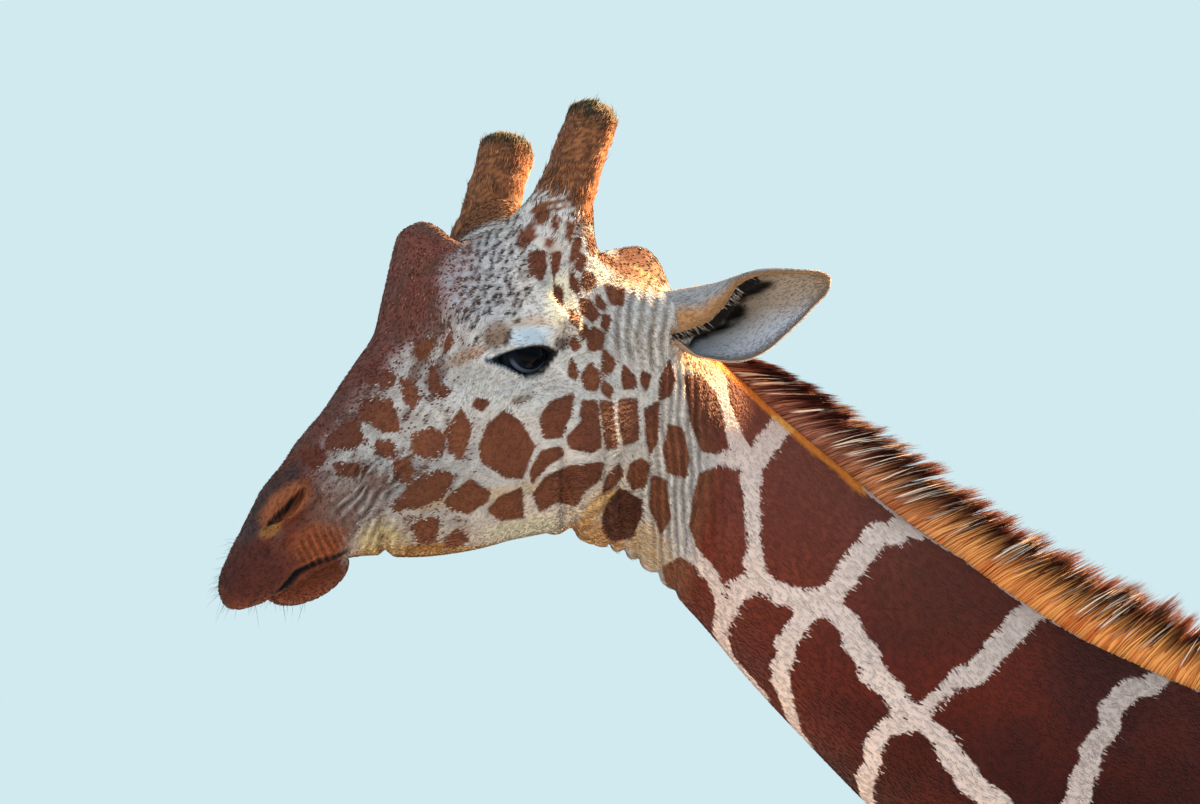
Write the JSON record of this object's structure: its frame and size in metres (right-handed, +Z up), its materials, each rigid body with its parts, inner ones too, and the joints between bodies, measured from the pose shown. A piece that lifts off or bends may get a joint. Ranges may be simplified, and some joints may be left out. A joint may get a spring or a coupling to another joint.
{
  "type": "reticulated giraffe",
  "caption": "Standing reticulated giraffe bull, whole and life size, neck reaching forward and head turned to its left, as a still museum model.",
  "frame": {"origin": "middle of the whole animal's bounding box, on the floor that the four soles rest on", "axes": "+X forward along the body, from tail to chest; +Y the animal's left, to which the head is turned; +Z up, the longest extent"},
  "size_m": [3.5162, 0.729, 4.1871],
  "materials": {
    "hide": "short matt coat, maroon brown patches with pale pink white lines between them",
    "horn_hair": "short brown hair, black tufts at the top",
    "ear": "short pale grey hair",
    "mane": "upright bristly hair, orange brown with dark maroon tips",
    "tail_tuft": "long black hair",
    "eye": "wet gloss, near black",
    "hoof": "worn horn"
  },
  "bodies": {
    "root": {"head": "hide", "neck_upper": "hide", "neck_lower": "hide", "torso": "hide", "foreleg_left": "hide", "foreleg_right": "hide", "hindleg_left": "hide", "hindleg_right": "hide", "tail": "hide", "ossicone_left": "horn_hair", "ossicone_right": "horn_hair", "ear_left": "ear", "ear_right": "ear", "mane_upper": "mane", "mane_middle": "mane", "mane_lower": "mane", "tail_tuft": "tail_tuft", "eye_left": "eye", "eye_right": "eye", "hoof_fore_left": "hoof", "hoof_fore_right": "hoof", "hoof_hind_left": "hoof", "hoof_hind_right": "hoof"}
  },
  "joints": []
}
